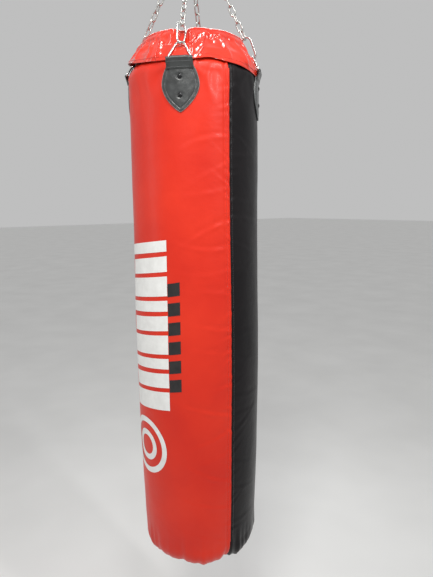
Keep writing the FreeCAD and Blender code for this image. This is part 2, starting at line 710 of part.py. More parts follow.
def swivel():
    """Upper eye on a shank, and a housing that turns round it on a ball race."""
    eye = Part.makeCylinder(EYE_R, EYE_T, V(0, EYE_T / 2, 0), V(0, -1, 0))
    eye = eye.makeFillet(EYE_ROUND, [e for e in eye.Edges if e.Length > 2 * math.pi * EYE_R - 1])
    nut_bottom = NUT_TOP - NUT_T
    shank = Part.makeCylinder(SHANK_R, SHANK_TOP - nut_bottom, V(0, 0, nut_bottom))
    neck = Part.makeCone(SHANK_R, NECK_R, NECK_H, V(0, 0, NECK_BOTTOM))
    bore = Part.makeCylinder(EYE_BORE_R, EYE_T, V(0, EYE_T / 2, 0), V(0, -1, 0))
    save("swivel_upper_eye", eye.fuse([shank, neck]).cut(bore))

    race_r = CAVITY_R - RUN_CLEAR - LINK_SLACK
    save("lower_race", lathe([(SHANK_R, NUT_TOP), (race_r, NUT_TOP), (race_r, LOWER_RACE_TOP),
                              (SHANK_R, LOWER_RACE_TOP)]))
    corners = [outward(60 * k) * NUT_R + UP * nut_bottom for k in range(6)]
    nut = Part.Face(Part.makePolygon(corners + [corners[0]])).extrude(V(0, 0, NUT_T))
    save("swivel_nut", nut.cut(Part.makeCylinder(SHANK_R, NUT_T, V(0, 0, nut_bottom))))

    neck_hole = SHANK_R + TURN_PLAY
    plug_bottom = PLUG_TOP - PLUG_T
    save("swivel_housing", lathe([(neck_hole, CAVITY_TOP), (neck_hole, HOUSING_TOP),
                                  (HOUSING_R - HOUSING_ROUND, HOUSING_TOP),
                                  (HOUSING_R, HOUSING_TOP - HOUSING_ROUND), (HOUSING_R, plug_bottom),
                                  (CAVITY_R, plug_bottom), (CAVITY_R, CAVITY_TOP)]))
    race_hole = SHANK_R + 6 * TURN_PLAY
    race_bottom = CAVITY_TOP - RACE_T
    save("upper_race", lathe([(race_hole, race_bottom), (CAVITY_R, race_bottom), (CAVITY_R, CAVITY_TOP),
                              (race_hole, CAVITY_TOP)]))
    pitch_r = (SHANK_R + CAVITY_R) / 2
    centres = [outward(360.0 * k / BALLS) * pitch_r + UP * BALL_Z for k in range(BALLS)]
    balls = [Part.makeSphere(BALL_R, centre) for centre in centres]
    save("bearing_balls", Part.makeCompound(balls))

    plug = Part.makeCylinder(CAVITY_R, PLUG_T, V(0, 0, plug_bottom))
    flange = Part.makeCylinder(HOUSING_R, FLANGE_T, V(0, 0, FLANGE_BOTTOM))
    lower_eye = Part.makeTorus(LOWER_EYE_R, LOWER_EYE_WIRE, V(0, 0, LOWER_EYE_Z), V(1, 0, 0))
    save("swivel_lower_eye", plug.fuse([flange, lower_eye]))
    save("gathering_ring", Part.makeTorus(RING_R, RING_WIRE, V(0, 0, RING_Z), V(0, 1, 0)))


swivel()
hook_room = harness()
bag_body()
top_parts(hook_room)
print("lower eye z", LOWER_EYE_Z / 1000, "ring z", RING_Z / 1000, "bar z", BAR_Z / 1000)
zip_post = turned(Part.Vertex(on_slope(ZIP_S, PULL_Z)), SLIDER_AZIMUTH).Point
print("slope", SLOPE_ANGLE, "zip post", [round(c / 1000, 5) for c in zip_post])
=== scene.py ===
import json
import math
import random
import bpy
import bmesh
from mathutils import Matrix, Vector, noise


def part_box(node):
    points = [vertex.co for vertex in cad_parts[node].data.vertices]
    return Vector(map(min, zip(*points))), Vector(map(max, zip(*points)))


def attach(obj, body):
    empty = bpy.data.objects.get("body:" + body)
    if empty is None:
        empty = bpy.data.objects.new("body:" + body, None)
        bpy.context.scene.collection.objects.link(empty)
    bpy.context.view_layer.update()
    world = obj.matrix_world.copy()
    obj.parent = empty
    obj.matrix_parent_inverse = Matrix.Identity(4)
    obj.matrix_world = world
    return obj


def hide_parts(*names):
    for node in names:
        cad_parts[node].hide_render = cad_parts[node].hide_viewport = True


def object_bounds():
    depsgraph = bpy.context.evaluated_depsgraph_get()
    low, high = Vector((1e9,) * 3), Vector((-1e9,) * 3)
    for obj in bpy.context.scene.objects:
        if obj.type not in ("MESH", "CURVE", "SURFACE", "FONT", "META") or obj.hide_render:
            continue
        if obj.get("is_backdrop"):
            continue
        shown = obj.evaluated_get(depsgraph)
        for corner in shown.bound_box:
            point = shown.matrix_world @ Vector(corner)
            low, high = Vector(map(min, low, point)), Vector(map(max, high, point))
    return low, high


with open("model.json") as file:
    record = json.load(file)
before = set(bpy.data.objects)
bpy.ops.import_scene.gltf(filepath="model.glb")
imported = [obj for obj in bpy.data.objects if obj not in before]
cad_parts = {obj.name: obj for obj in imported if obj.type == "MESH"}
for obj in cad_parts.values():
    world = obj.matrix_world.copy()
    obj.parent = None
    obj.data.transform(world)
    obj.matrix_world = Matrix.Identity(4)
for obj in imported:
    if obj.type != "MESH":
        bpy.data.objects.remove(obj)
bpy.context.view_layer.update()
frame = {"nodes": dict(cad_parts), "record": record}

# ---- Places read from the frame, in metres ----

JOINTS = {j["name"]: j for j in frame["record"]["behaviour"]["joints"]}
BAR_Z = JOINTS["d_ring_tilt_front_left"]["pos_m"][2]
BAR_R = math.hypot(*JOINTS["d_ring_tilt_front_left"]["pos_m"][:2])
SHOULDER_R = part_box("storm_flap")[1][0]
BELLY_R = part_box("black_panel")[1][1]
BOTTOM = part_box("textile_fill")[0][2] - BAR_Z - 0.014
RIM_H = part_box("storm_flap")[1][2] - BAR_Z
LID_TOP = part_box("lid_panel")[1][2] - BAR_Z
LID_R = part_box("lid_panel")[1][0]

# ---- The bag's shape ----

FRONT_HALF = 85.0                 # degrees that the red side reaches each way
FITTINGS = {"front_left": -45.0, "front_right": 45.0, "back_right": 135.0, "back_left": 225.0}
SHOULDER_H = -0.015
TOP_EDGE_H = 0.012
SLOPE = 0.525                     # how far the top leans in for each metre up
CORNER_R = 0.055
CORNER_FULLNESS = 0.74            # 1 is a quarter circle and less is fuller
FOOT_R = SHOULDER_R - 0.007
FOOT_H = BOTTOM + CORNER_R
RIM_R = 0.139
SIDE_POINTS = [(-0.35, SHOULDER_R), (-0.72, BELLY_R), (-1.08, SHOULDER_R + 0.001), (FOOT_H, FOOT_R)]
COVER_T = 0.0014
LINING_T = 0.0012                 # thinner fabric: collar, lid and base
GRAIN_SEED = 7

# Ridges and hollows beside a seam, out from it: (rise, place, width).
RED_SEAM = ((0.0016, 0.0035, 0.0035), (-0.0012, 0.011, 0.004))
BLACK_SEAM = ((-0.0022, 0.0, 0.0045), (0.0009, 0.009, 0.004), (-0.0006, 0.0135, 0.0016))
PUCKER = ((1.0, 0.0, 0.0045), (-0.8, 0.008, 0.005))
LONG_CREASE = ((1.0, 0.0, 0.0055), (-0.7, 0.0095, 0.008))
PUCKER_REACH = 0.09
PUCKER_SPAN = 0.05                # up and down from the middle of one
CREASE_REACH = 0.19
CREASE_SPAN = 0.11

# The pull of a leather tab: its top corner, and how far round and down the creases go.
PULL_SIDE = 0.034
PULL_TOP_H = -0.016
PULL_REACH = 0.11
PULL_END_H = -0.13

# The sewn edge of the base, along the corner's arc, and the corner's bulges beside each seam, in degrees.
CORNER_ARC = CORNER_R * 1.57
BASE_SEAM = ((-0.0034, 0.66 * CORNER_ARC, 0.0035), (0.0018, 0.57 * CORNER_ARC, 0.004))
BUNCHES = ((-0.0085, -2, 5.0), (0.0050, 17, 10.0), (0.0030, -22, 12.0))


def point(azimuth, radius, height):
    a = math.radians(azimuth)
    return Vector((radius * math.sin(a), -radius * math.cos(a), BAR_Z + height))


def outward(azimuth):
    a = math.radians(azimuth)
    return Vector((math.sin(a), -math.cos(a), 0))


def hill(x, width):
    return math.exp(-(x / width) ** 2)


def ridges(x, shape):
    """Height of a set of (rise, place, width) ridges and hollows."""
    return sum(rise * hill(x - place, width) for rise, place, width in shape)


def ridges_round(azimuth, shape):
    """The same round the bag, with places and widths in degrees."""
    return sum(rise * hill(turn_between(azimuth, place), width) for rise, place, width in shape)


def ease(x, start, end):
    t = min(1.0, max(0.0, (x - start) / (end - start)))
    return t * t * (3 - 2 * t)


def turn_between(a, b):
    """Degrees from b to a, from -180 to 180."""
    return (a - b + 180.0) % 360.0 - 180.0


def catmull(points, x):
    """A smooth curve through (x, value) points in falling x."""
    for i in range(len(points) - 1):
        if x >= points[i + 1][0] or i == len(points) - 2:
            x1, y1 = points[i]
            x2, y2 = points[i + 1]
            x0, y0 = points[i - 1] if i else (x1 + (x1 - x2), y1)
            x3, y3 = points[i + 2] if i + 2 < len(points) else (x2 - (x1 - x2), y2 - 0.008)
            m1 = (y2 - y0) / (x2 - x0)
            m2 = (y3 - y1) / (x3 - x1)
            d = x2 - x1
            t = (x - x1) / d
            return ((2 * t ** 3 - 3 * t ** 2 + 1) * y1 + (t ** 3 - 2 * t ** 2 + t) * d * m1
                    + (3 * t ** 2 - 2 * t ** 3) * y2 + (t ** 3 - t ** 2) * d * m2)
    return points[-1][1]


def side_radius(h):
    """The bag's plain radius at a height, down to the bottom corner."""
    if h > SHOULDER_H:
        return SHOULDER_R - (h - SHOULDER_H) * SLOPE
    if h > SIDE_POINTS[0][0]:
        return SHOULDER_R
    return catmull(SIDE_POINTS, h)


def make_puckers():
    """Short slanting gathers by the side seams: (seam side, panel, height, reach, slant, depth)."""
    rng = random.Random(GRAIN_SEED)
    found = []
    for side in (-1, 1):
        for panel in (-1, 1):
            h = -0.07
            while h > -1.33:
                reach = rng.uniform(0.012, 0.034)
                found.append((side, panel, h, reach, rng.uniform(-0.9, 0.9), rng.uniform(0.0008, 0.0021)))
                h -= rng.uniform(0.022, 0.075)
    return found


def make_long_creases():
    """Shallow creases in from the side seams: (seam side, panel, height, reach, slant, bow, depth)."""
    rng = random.Random(GRAIN_SEED + 21)
    found = []
    for side in (-1, 1):
        for panel in (-1, 1):
            h = -0.12
            while h > -1.30:
                h -= rng.uniform(0.045, 0.115)
                found.append((side, panel, h, rng.uniform(0.055, 0.115), rng.uniform(-0.45, 0.35),
                              rng.uniform(-2.5, 2.5), rng.uniform(0.0007, 0.0016)))
    return found


PUCKERS = make_puckers()
LONG_CREASES = make_long_creases()


def seam_relief(azimuth, h, inside):
    """How the side seams shape the cover. inside is 1 on the red side and -1 on the black."""
    side = 1 if math.sin(math.radians(azimuth)) > 0 else -1
    away = turn_between(azimuth, side * FRONT_HALF) * side * -inside
    s = max(0.0, math.radians(away) * SHOULDER_R)
    if s > CREASE_REACH:
        return 0.0
    long_relief = 0.0
    for where, panel, height, reach, slant, bow, depth in LONG_CREASES:
        if where != side or panel != inside or abs(h - height) > CREASE_SPAN:
            continue
        across = (h - height) - slant * s - bow * s * s
        fade = hill(s - 0.02, reach) * (0.45 + 0.55 * math.cos(s * 60 + height * 90) ** 2)
        long_relief += depth * fade * ridges(across, LONG_CREASE)
    if s > PUCKER_REACH:
        return long_relief
    out = ridges(s, RED_SEAM if inside > 0 else BLACK_SEAM)
    for where, panel, height, reach, slant, depth in PUCKERS:
        if where != side or panel != inside or abs(h - height) > PUCKER_SPAN:
            continue
        across = (h - height) - slant * s
        out += depth * math.exp(-s / reach) * ridges(across, PUCKER)
    return out + long_relief


def tab_pull(azimuth, h):
    """Creases that run out from the top corners of the leather tabs."""
    out = 0.0
    if h < PULL_END_H:
        return out
    for centre in FITTINGS.values():
        x = math.radians(turn_between(azimuth, centre)) * SHOULDER_R
        if abs(x) > PULL_REACH:
            continue
        for side in (-1, 1):
            across = side * x - PULL_SIDE
            down = PULL_TOP_H - h
            away = math.hypot(across, down)
            angle = math.atan2(down, across)
            fade = math.exp(-away / 0.026) * ease(away, 0.0, 0.010)
            out += 0.0026 * fade * math.sin(6.5 * angle + 1.7 * side + centre)
    return out


def fill_relief(p, azimuth, h):
    """Soft lumps of the fill, creases near the top, the tabs' pull, and gathers near the corner."""
    lump = noise.noise(Vector((p.x * 7, p.y * 7, p.z * 3.2))) * 0.0022
    lump += noise.noise(Vector((p.x * 22, p.y * 22, p.z * 12 + 5))) * 0.0007
    top = ease(h, -0.13, -0.03)
    if top > 0:
        crease = abs(noise.noise(Vector((p.x * 19 + 3, p.y * 19, p.z * 13))))
        lump += top * (0.0014 - 0.0055 * min(crease, 0.5)) + tab_pull(azimuth, h)
    near = ease(-h, 1.30, 1.385)
    a = math.radians(azimuth)
    wave = math.sin(29 * a + 2.5 * math.sin(5 * a)) + 0.7 * math.sin(43 * a + 1.0 + 3 * math.sin(3 * a))
    wave = wave * (0.6 + 0.4 * math.sin(7 * a + 2)) + 1.2 * min(0.0, math.sin(11 * a + 4)) ** 3
    return lump + near * wave * 0.0018


def cover_point(azimuth, h, inside, lift=0.0):
    """A point of the cover's outside, anywhere above the bottom corner."""
    base = point(azimuth, side_radius(h), h)
    relief = seam_relief(azimuth, h, inside) + fill_relief(base, azimuth, h)
    tuck = -0.003 * ease(h, 0.0, TOP_EDGE_H)
    return point(azimuth, side_radius(h) + relief + tuck + lift, h)


def corner_bunch(azimuth):
    """How the bottom corner bulges and draws in as it goes round."""
    out = 0.0035 * noise.noise(Vector((azimuth * 0.045, 1.0, 6.0)))
    for side in (-1, 1):
        away = side * turn_between(azimuth, side * FRONT_HALF)
        out += ridges_round(away, BUNCHES)
    return out


def corner_point(azimuth, t, inside):
    """The bottom corner, from the side at t 0 to the base at t 1."""
    bend = t * math.pi / 2
    r = FOOT_R - CORNER_R + CORNER_R * math.cos(bend) ** CORNER_FULLNESS
    h = FOOT_H - CORNER_R * math.sin(bend) ** CORNER_FULLNESS
    base = point(azimuth, r, h)
    relief = fill_relief(base, azimuth, FOOT_H - 0.02)
    relief += seam_relief(azimuth, FOOT_H, inside) * (1 - 0.6 * t)
    relief += ridges(t * CORNER_ARC, BASE_SEAM)
    relief += corner_bunch(azimuth) * math.sin(math.pi * t) ** 0.7
    out = outward(azimuth) * math.cos(bend) - Vector((0, 0, math.sin(bend)))
    return base + out * relief


# ---- Mesh helpers ----

def place_object(name, data):
    piece = bpy.data.objects.new(name, data)
    bpy.context.scene.collection.objects.link(piece)
    return piece


def mesh_object(name, verts, faces):
    mesh = bpy.data.meshes.new(name)
    mesh.from_pydata([tuple(v) for v in verts], [], faces)
    bm = bmesh.new()
    bm.from_mesh(mesh)
    bmesh.ops.remove_doubles(bm, verts=bm.verts, dist=1e-6)
    bmesh.ops.recalc_face_normals(bm, faces=bm.faces)
    bm.to_mesh(mesh)
    bm.free()
    mesh.polygons.foreach_set("use_smooth", [True] * len(mesh.polygons))
    return place_object(name, mesh)


def grid_faces(rows, columns, wrap=False, start=0):
    """Faces over rows of columns vertices. wrap joins each row's last column to its first."""
    faces = []
    last = columns if wrap else columns - 1
    for i in range(rows - 1):
        for j in range(last):
            a = start + i * columns + j
            b = start + i * columns + (j + 1) % columns
            faces.append((a, b, b + columns, a + columns))
    return faces


def thicken(piece, depth):
    """Gives a sheet its thickness, inwards from its outside."""
    solid = piece.modifiers.new("thickness", "SOLIDIFY")
    solid.thickness = depth
    solid.offset = -1


def finish_piece(piece, material, body="bag"):
    piece.data.materials.append(material)
    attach(piece, body)
    return piece


# ---- Materials ----

class Nodes:
    """A material's node tree with short ways to add to it."""

    def __init__(self, name):
        self.material = bpy.data.materials.new(name)
        self.material.use_nodes = True
        self.tree = self.material.node_tree
        self.shader = self.tree.nodes["Principled BSDF"]
        self.place = self.tree.nodes.new("ShaderNodeTexCoord").outputs["Object"]

    def join(self, out, into):
        self.tree.links.new(out, into)

    def set(self, name, value):
        self.shader.inputs[name].default_value = value

    def noise(self, scale, detail=3.0, rough=0.5):
        node = self.tree.nodes.new("ShaderNodeTexNoise")
        node.inputs["Scale"].default_value = scale
        node.inputs["Detail"].default_value = detail
        node.inputs["Roughness"].default_value = rough
        self.join(self.place, node.inputs["Vector"])
        return node.outputs["Fac"]

    def cells(self, scale):
        node = self.tree.nodes.new("ShaderNodeTexVoronoi")
        node.feature = "DISTANCE_TO_EDGE"
        node.inputs["Scale"].default_value = scale
        self.join(self.place, node.inputs["Vector"])
        return node.outputs["Distance"]

    def ramp(self, fac, low, high, start=0.3, end=0.7):
        node = self.tree.nodes.new("ShaderNodeValToRGB")
        node.color_ramp.elements[0].position = start
        node.color_ramp.elements[0].color = (*low, 1)
        node.color_ramp.elements[1].position = end
        node.color_ramp.elements[1].color = (*high, 1)
        self.join(fac, node.inputs["Fac"])
        return node.outputs["Color"]

    def spread(self, fac, low, high):
        node = self.tree.nodes.new("ShaderNodeMapRange")
        node.inputs["To Min"].default_value = low
        node.inputs["To Max"].default_value = high
        self.join(fac, node.inputs["Value"])
        return node.outputs["Result"]

    def bump(self, *layers):
        """Layers of (height, strength, distance), one on another."""
        normal = None
        for height, strength, distance in layers:
            node = self.tree.nodes.new("ShaderNodeBump")
            node.inputs["Strength"].default_value = strength
            node.inputs["Distance"].default_value = distance
            self.join(height, node.inputs["Height"])
            if normal is not None:
                self.join(normal, node.inputs["Normal"])
            normal = node.outputs["Normal"]
        self.join(normal, self.shader.inputs["Normal"])


def coated_fabric(name, dark, light, roughness, coat=0.0, crinkle=0.25, shine=0.4):
    """Vinyl-coated cloth: slow colour drift, a fine pressed grain and shallow crinkles."""
    n = Nodes(name)
    n.join(n.ramp(n.noise(5, 4), dark, light), n.shader.inputs["Base Color"])
    n.join(n.spread(n.noise(38, 4), roughness - 0.06, roughness + 0.08), n.shader.inputs["Roughness"])
    n.set("Specular IOR Level", shine)
    n.set("Coat Weight", coat)
    n.set("Coat Roughness", 0.10)
    n.bump((n.noise(26, 3, 0.55), crinkle, 0.004), (n.cells(900), 0.18, 0.0004))
    return n.material


def tab_leather(name, dark, light, coat):
    n = Nodes(name)
    n.join(n.ramp(n.noise(60, 5), dark, light), n.shader.inputs["Base Color"])
    n.join(n.spread(n.noise(140, 4), 0.30, 0.46), n.shader.inputs["Roughness"])
    n.set("Coat Weight", coat)
    n.set("Coat Roughness", 0.25)
    n.bump((n.noise(90, 3), 0.3, 0.0012), (n.cells(650), 0.45, 0.0006))
    return n.material


def plated_steel(name, low, high, roughness, pits=0.15):
    n = Nodes(name)
    n.set("Metallic", 1.0)
    n.join(n.ramp(n.noise(120, 5), low, high), n.shader.inputs["Base Color"])
    n.join(n.spread(n.noise(320, 4), roughness - 0.05, roughness + 0.12), n.shader.inputs["Roughness"])
    n.bump((n.noise(900, 3), pits, 0.0003))
    return n.material


def enamel(name, colour, roughness):
    n = Nodes(name)
    lighter = tuple(c * 1.6 + 0.004 for c in colour)
    n.join(n.ramp(n.noise(200, 3), colour, lighter), n.shader.inputs["Base Color"])
    n.join(n.spread(n.noise(400, 3), roughness - 0.03, roughness + 0.06), n.shader.inputs["Roughness"])
    n.set("Specular IOR Level", 0.3)
    n.set("Coat Weight", 0.15)
    n.set("Coat Roughness", 0.08)
    n.bump((n.noise(700, 2), 0.08, 0.0002))
    return n.material


def print_ink(name, dark, light):
    n = Nodes(name)
    n.join(n.ramp(n.noise(45, 5, 0.6), dark, light), n.shader.inputs["Base Color"])
    n.join(n.spread(n.noise(120, 4), 0.42, 0.58), n.shader.inputs["Roughness"])
    n.bump((n.noise(26, 3, 0.55), 0.2, 0.004), (n.cells(900), 0.15, 0.0004))
    return n.material


def woven(name, dark, light, scale):
    n = Nodes(name)
    n.join(n.ramp(n.noise(scale * 0.2, 4), dark, light), n.shader.inputs["Base Color"])
    n.set("Roughness", 0.85)
    n.set("Sheen Weight", 0.3)
    wave = n.tree.nodes.new("ShaderNodeTexWave")
    wave.inputs["Scale"].default_value = scale
    wave.inputs["Distortion"].default_value = 1.5
    n.join(n.place, wave.inputs["Vector"])
    n.bump((wave.outputs["Fac"], 0.5, 0.0006), (n.noise(scale * 2, 3), 0.4, 0.0004))
    return n.material


RED = coated_fabric("red_vinyl", (0.64, 0.021, 0.008), (0.75, 0.033, 0.011), 0.38, 0.05, shine=0.32)
RED_GLOSS = coated_fabric("red_gloss_vinyl", (0.66, 0.024, 0.008), (0.77, 0.036, 0.012), 0.20, 0.9, 0.3,
                          shine=0.32)
BLACK = coated_fabric("black_vinyl", (0.006, 0.005, 0.006), (0.011, 0.009, 0.010), 0.33, shine=0.20)
LEATHER = tab_leather("tab_leather", (0.022, 0.024, 0.024), (0.048, 0.052, 0.052), 0.5)
EDGE = tab_leather("tab_edge", (0.13, 0.14, 0.14), (0.24, 0.25, 0.25), 0.2)
CHROME = plated_steel("bright_chrome", (0.62, 0.62, 0.61), (0.80, 0.80, 0.78), 0.14)
ZINC = plated_steel("zinc_plate", (0.46, 0.46, 0.44), (0.66, 0.66, 0.63), 0.28, 0.3)
BLACK_METAL = enamel("black_enamel", (0.006, 0.006, 0.007), 0.18)
PLASTIC = enamel("zip_plastic", (0.014, 0.014, 0.015), 0.45)
WHITE_INK = print_ink("white_print", (0.78, 0.78, 0.76), (0.88, 0.88, 0.86))
BLACK_INK = print_ink("black_print", (0.012, 0.011, 0.012), (0.024, 0.022, 0.022))
RED_THREAD = woven("red_thread", (0.42, 0.02, 0.012), (0.60, 0.04, 0.02), 1500)
DARK_THREAD = woven("dark_thread", (0.03, 0.03, 0.032), (0.10, 0.10, 0.10), 1500)
GREY_THREAD = woven("grey_thread", (0.14, 0.15, 0.15), (0.28, 0.29, 0.29), 1500)
WEBBING = woven("webbing", (0.02, 0.02, 0.02), (0.05, 0.05, 0.05), 300)
FOAM = woven("foam", (0.55, 0.53, 0.48), (0.70, 0.68, 0.62), 220)
OFFCUTS = woven("offcuts", (0.20, 0.22, 0.28), (0.48, 0.42, 0.38), 120)


def dress_cad_nodes():
    """Gives every carried-over CAD node its finish."""
    finishes = {
        "snap_hook_": CHROME, "hook_gate_": CHROME, "d_ring_": CHROME, "chain_": ZINC, "gate_spring_": ZINC,
        "gate_pins": ZINC, "swivel_": ZINC, "gathering_ring": ZINC, "rivet_washers": ZINC,
        "bearing_balls": CHROME, "upper_race": CHROME, "lower_race": CHROME,
        "tab_rivets": BLACK_METAL, "zip_slider": BLACK_METAL, "zip_stops": BLACK_METAL,
        "zip_pull": PLASTIC, "zip_upper": PLASTIC, "zip_lower": PLASTIC, "webbing_strips": WEBBING,
        "foam_lining": FOAM, "top_cushion": FOAM, "textile_fill": OFFCUTS,
        "red_panel": RED, "black_panel": BLACK, "side_seams": RED, "bottom_panel": RED,
        "bottom_binding": BLACK, "storm_flap": RED_GLOSS, "rim_binding": RED_GLOSS, "lid_": RED,
        "leather_tab_": LEATHER,
    }
    for name, node in frame["nodes"].items():
        material = next(m for start, m in finishes.items() if name.startswith(start))
        for place in node.material_slots:
            place.material = material


# ---- Cover ----

HEIGHT_STEP = 0.0052
TOP_STEP = 0.0045
TOP_ROWS = 6
CORNER_ROWS = 16
COVER_COLUMNS = 121
SEAM_CROWDING = 0.84
SEAM_ROLL_R = 0.0016
ROLL_STEP = 0.012
STITCH_PITCH = 0.005


def cover_panel(name, start, end, inside, material):
    """One side of the cover, from under the collar to the edge of the base."""
    azimuths = []
    for j in range(COVER_COLUMNS):
        turn = 2 * math.pi * j / (COVER_COLUMNS - 1)
        # Columns are closest beside the seams, where the gathers are.
        share = (turn - SEAM_CROWDING * math.sin(turn)) / (2 * math.pi)
        azimuths.append(start + (end - start) * share)
    heights = [TOP_EDGE_H - k * TOP_STEP for k in range(TOP_ROWS)]
    count = int((SHOULDER_H - FOOT_H) / HEIGHT_STEP)
    heights += [SHOULDER_H - (SHOULDER_H - FOOT_H) * (k + 1) / count for k in range(count)]
    verts = []
    for h in heights:
        verts += [cover_point(a, h, inside) for a in azimuths]
    for k in range(1, CORNER_ROWS + 1):
        verts += [corner_point(a, k / CORNER_ROWS, inside) for a in azimuths]
    rows = len(heights) + CORNER_ROWS
    piece = mesh_object(name, verts, grid_faces(rows, COVER_COLUMNS))
    thicken(piece, COVER_T)
    return finish_piece(piece, material)


BASE_RINGS = 16
BASE_COLUMNS = 96


def bottom_panel():
    """The round panel under the bag, lightly creased towards its seam."""
    rings = BASE_RINGS
    columns = BASE_COLUMNS
    edge = FOOT_R - CORNER_R + 0.0015
    verts = [point(0, 0, BOTTOM - 0.0005)]
    for i in range(1, rings + 1):
        t = i / rings
        for j in range(columns):
            azimuth = 360.0 * j / columns
            crease = 0.0008 * math.sin(23 * math.radians(azimuth) + 4 * t) * t ** 3
            verts.append(point(azimuth, edge * t, BOTTOM - 0.0005 + crease + 0.0012 * t ** 8))
    faces = [(0, 1 + (j + 1) % columns, 1 + j) for j in range(columns)]
    faces += grid_faces(rings, columns, wrap=True, start=1)
    piece = mesh_object("bottom_cover", verts, faces)
    thicken(piece, LINING_T)
    finish_piece(piece, RED)
    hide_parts("bottom_panel", "bottom_binding")


def tube_along(name, points, radius, sides=8, closed=False):
    """A round cord of fabric or thread through points."""
    verts = []
    rings = len(points)
    for i, p in enumerate(points):
        ahead = points[(i + 1) % rings] if closed or i < rings - 1 else p
        back = points[i - 1] if closed or i else p
        heading = (ahead - back).normalized()
        up = heading.cross(Vector((p.x, p.y, 0)).normalized()).normalized()
        out = up.cross(heading)
        for k in range(sides):
            a = 2 * math.pi * k / sides
            verts.append(p + out * radius * math.cos(a) + up * radius * math.sin(a))
    faces = grid_faces(rings, sides, wrap=True)
    last = (rings - 1) * sides
    if closed:
        faces += [(last + k, last + (k + 1) % sides, (k + 1) % sides, k) for k in range(sides)]
    else:
        faces += [tuple(range(sides)), tuple(range(last + sides - 1, last - 1, -1))]
    return mesh_object(name, verts, faces)


# Along one stitch: (share of its length, rise and radius in thread radii).
STITCH_SECTIONS = ((0, -0.6, 0.5), (0.15, 0.3, 1), (0.85, 0.3, 1), (1, -0.6, 0.5))
STITCH_SIDES = 5


def stitch_mesh(name, lines, pitch, radius=0.00045, share=0.68):
    """Sewing thread on the surface: each stitch is a short bar that dips in at both ends.

    lines are lists of (point, outward) along each seam.
    """
    verts = []
    faces = []
    for path in lines:
        lengths = [0.0]
        for (a, _), (b, _) in zip(path, path[1:]):
            lengths.append(lengths[-1] + (b - a).length)
        count = int(lengths[-1] / pitch)
        i = 0
        for k in range(count):
            ends = []
            for s in (k * pitch, (k + share) * pitch):
                while i < len(path) - 2 and lengths[i + 1] < s:
                    i += 1
                t = (s - lengths[i]) / max(lengths[i + 1] - lengths[i], 1e-9)
                ends.append((path[i][0].lerp(path[i + 1][0], t), path[i][1]))
            (a, out), (b, _) = ends
            along = (b - a).normalized()
            side = along.cross(out).normalized()
            base = len(verts)
            for t, rise, r in STITCH_SECTIONS:
                centre = a.lerp(b, t) + out * radius * rise
                for m in range(STITCH_SIDES):
                    angle = 2 * math.pi * m / STITCH_SIDES
                    verts.append(centre + (side * math.cos(angle) + out * math.sin(angle)) * radius * r)
            faces += grid_faces(len(STITCH_SECTIONS), STITCH_SIDES, wrap=True, start=base)
            end = len(verts) - STITCH_SIDES
            faces.append(tuple(range(base + STITCH_SIDES - 1, base - 1, -1)))
            faces.append(tuple(range(end, end + STITCH_SIDES)))
    return mesh_object(name, verts, faces)


def side_seams():
    """Rolled edge of the red side over the black, with a row of stitches each side of it."""
    for side, name in ((1, "right"), (-1, "left")):
        azimuth = side * (FRONT_HALF + 0.25)
        count = int((SHOULDER_H - FOOT_H) / ROLL_STEP)
        heights = [SHOULDER_H - 0.004 - k * ROLL_STEP for k in range(count)]
        points = [cover_point(azimuth, h, 1) - outward(azimuth) * 0.0006 for h in heights]
        piece = tube_along("seam_roll_" + name, points, SEAM_ROLL_R)
        finish_piece(piece, RED)
    heights = [-0.03 - k * 0.01 for k in range(133)]
    lines = []
    for side in (1, -1):
        for offset, inside in ((-2.4, 1), (2.9, -1)):      # degrees from the seam, and the panel
            azimuth = side * (FRONT_HALF + offset)
            lines.append([(cover_point(azimuth, h, inside), outward(azimuth)) for h in heights])
    for name, which, thread in (("red", (0, 2), RED_THREAD), ("black", (1, 3), DARK_THREAD)):
        piece = stitch_mesh("seam_stitches_" + name, [lines[i] for i in which], STITCH_PITCH)
        finish_piece(piece, thread)


# ---- Printed marks, abstract on purpose ----

PRINT_LIFT = 0.0005
PRINT_STEP = 0.005                # the outlines are cut this fine, to follow the cover
WHITE_TOP_H = -0.462
WHITE_EDGE = 30.0                 # azimuth where the white bars end
WHITE_GAP = 0.0125
BLACK_BLOCK = 0.036
BLACK_AZIMUTH = 35.5
BLACK_TOP_H = -0.585
BLACK_PITCH = 0.054
TARGET_PLACE = (-2.5, -1.06)
TARGET_BAND = 0.017


def printed(name, outline, centre, material):
    """A flat outline in (across, up) metres laid on the cover round a (azimuth, height) centre."""
    bm = bmesh.new()
    loops = outline if isinstance(outline[0], list) else [outline]
    edges = []
    for loop in loops:
        corners = [bm.verts.new((x, y, 0)) for x, y in loop]
        edges += [bm.edges.new((corners[i], corners[(i + 1) % len(corners)])) for i in range(len(corners))]
    bmesh.ops.triangle_fill(bm, edges=edges, use_beauty=True)
    for axis in (0, 1):
        low = min(v.co[axis] for v in bm.verts)
        high = max(v.co[axis] for v in bm.verts)
        for k in range(1, int((high - low) / PRINT_STEP) + 1):
            place = [0, 0, 0]
            normal = [0, 0, 0]
            place[axis] = low + k * PRINT_STEP
            normal[axis] = 1
            whole = bm.verts[:] + bm.edges[:] + bm.faces[:]
            bmesh.ops.bisect_plane(bm, geom=whole, plane_co=place, plane_no=normal)
    azimuth, height = centre
    for v in bm.verts:
        h = height + v.co.y
        a = azimuth + math.degrees(v.co.x / side_radius(h))
        v.co = cover_point(a, h, 1, PRINT_LIFT)
    mesh = bpy.data.meshes.new(name)
    for f in bm.faces:
        f.smooth = True
        f.normal_update()
        middle = f.calc_center_median()
        if f.normal.dot(Vector((middle.x, middle.y, 0))) < 0:
            f.normal_flip()
    bm.to_mesh(mesh)
    bm.free()
    finish_piece(place_object(name, mesh), material)


